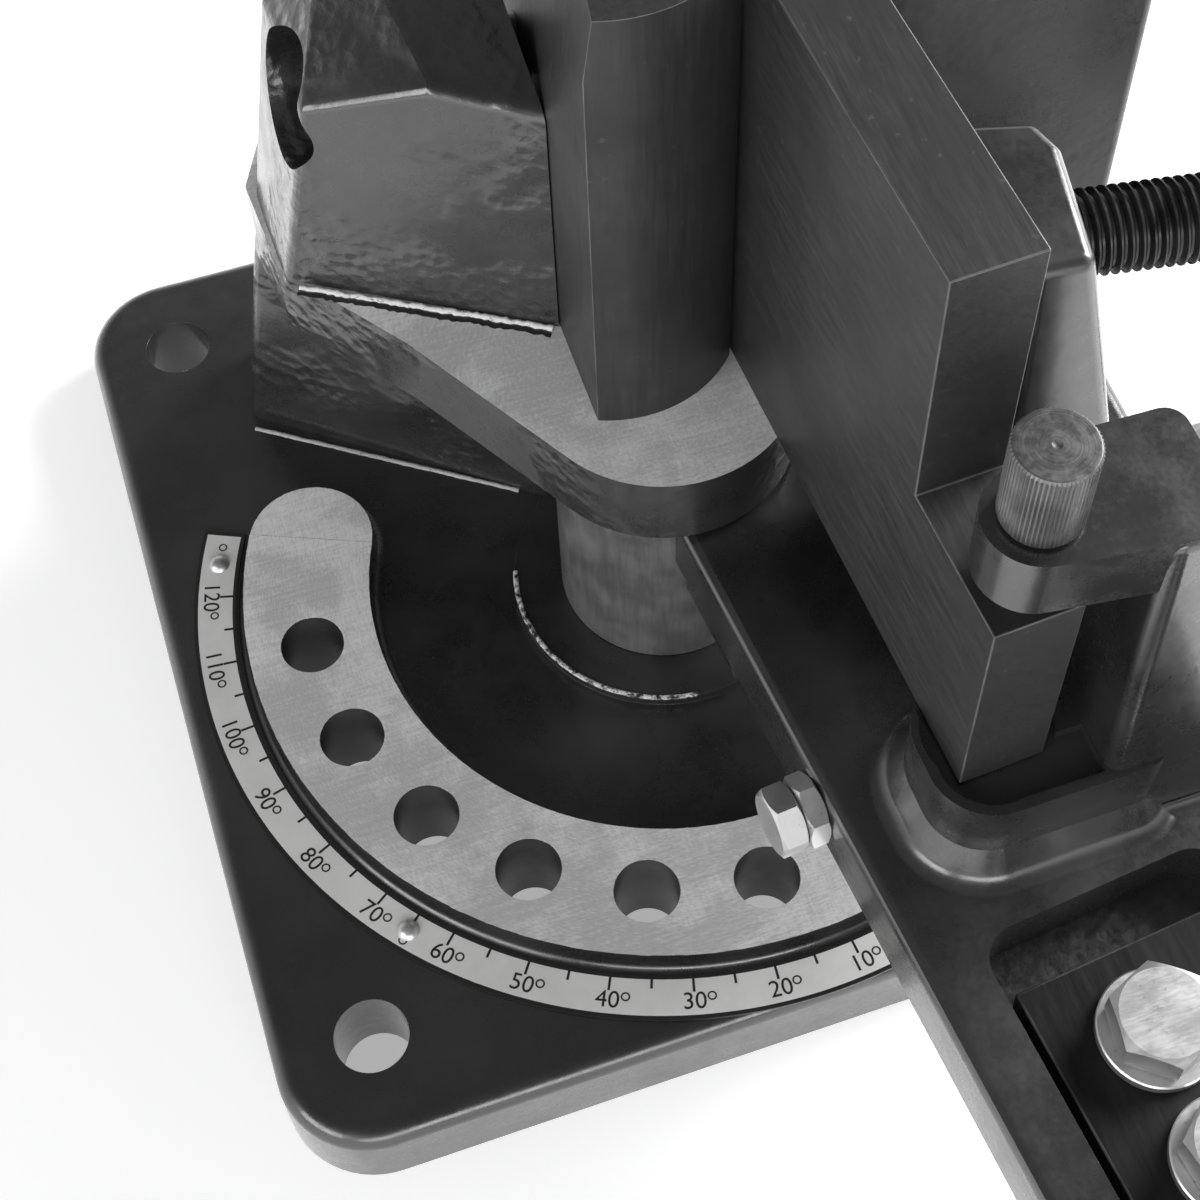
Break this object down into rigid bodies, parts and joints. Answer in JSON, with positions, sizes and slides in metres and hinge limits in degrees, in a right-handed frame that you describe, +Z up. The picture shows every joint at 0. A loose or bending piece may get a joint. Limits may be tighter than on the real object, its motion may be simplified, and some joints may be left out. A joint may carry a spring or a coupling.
{
  "type": "bench bending machine",
  "caption": "Bench flat-bar bender: column with forming block, swing arm with spindle-set plate, hand lever, angle stop and degree scale.",
  "frame": {"origin": "pivot axis of the swing arm at the underside of the base plate", "axes": "+Z up along the pivot axis, +X to the right along the base's front edge, +Y back towards the column; the arm rests pointing to -Y"},
  "size_m": [0.2787, 0.6896, 0.2115],
  "materials": {
    "black_casting": "gloss black paint over cast iron",
    "black_bar": "satin black paint",
    "dark_steel": "dark ground tool steel",
    "ground_steel": "turned and ground bright steel",
    "black_oxide": "black oxide steel",
    "zinc": "bright zinc plate",
    "bronze": "turned bearing bronze",
    "scale_white": "satin aluminium strip, printed",
    "grip_black": "matt black moulded grip",
    "knob_black": "gloss black moulded knob"
  },
  "bodies": {
    "frame_body": {"base_plate": "black_casting", "degree_scale": "scale_white", "scale_rivets": "zinc", "column": "black_casting", "column_screws": "black_oxide", "forming_block": "dark_steel", "block_dowels": "ground_steel", "block_screw": "black_oxide", "pivot_pin": "ground_steel", "thrust_washer": "bronze"},
    "arm_body": {"swing_arm": "black_casting", "arm_bush": "bronze", "stop_nut": "zinc", "lever_bar": "black_bar", "lever_bolts": "zinc", "lever_washers": "zinc", "lever_nuts": "zinc", "lever_grip": "grip_black"},
    "stop_screw_body": {"stop_screw": "zinc"},
    "plate_body": {"set_plate": "dark_steel"},
    "hinge_pin_body": {"hinge_pin": "dark_steel"},
    "shoe_body": {"pressure_shoe": "ground_steel"},
    "spindle_body": {"spindle": "black_oxide"},
    "cross_bar_body": {"cross_bar": "ground_steel", "bar_knobs": "knob_black"},
    "stop_pin_body": {"stop_pin": "ground_steel"}
  },
  "joints": [
    {"name": "arm_swing", "type": "hinge", "parent": "frame_body", "child": "arm_body", "pos_m": [0, 0, 0.05], "axis": [0, 0, -1], "range_deg": [0, 120]},
    {"name": "plate_swing", "type": "hinge", "parent": "arm_body", "child": "plate_body", "pos_m": [0.0298, -0.0978, 0.12], "axis": [0, 0, -1], "range_deg": [0, 5.2]},
    {"name": "hinge_pin_lift", "type": "slide", "parent": "arm_body", "child": "hinge_pin_body", "axis": [0, 0, 1], "range_m": [0, 0.095]},
    {"name": "stop_screw_travel", "type": "slide", "parent": "arm_body", "child": "stop_screw_body", "axis": [-0.9956, -0.0941, 0], "range_m": [0, 0.008]},
    {"name": "shoe_feed", "type": "slide", "parent": "arm_body", "child": "shoe_body", "axis": [0.9863, -0.165, 0], "range_m": [0, 0.0051]},
    {"name": "spindle_turn", "type": "hinge", "parent": "shoe_body", "child": "spindle_body", "pos_m": [0.062, -0.04249, 0.1675], "axis": [0.9863, -0.165, 0], "range_deg": [0, 900]},
    {"name": "cross_bar_slide", "type": "slide", "parent": "spindle_body", "child": "cross_bar_body", "axis": [0, 0, 1], "range_m": [0, 0.0745]},
    {"name": "stop_pin_lift", "type": "slide", "parent": "frame_body", "child": "stop_pin_body", "axis": [0, 0, 1], "range_m": [0, 0.076]}
  ],
  "couplings": [
    {"joint": "shoe_feed", "follows": "spindle_turn", "m_per_rad": 0.00031831},
    {"joint": "plate_swing", "follows": "spindle_turn", "ratio": 0.0056977}
  ]
}
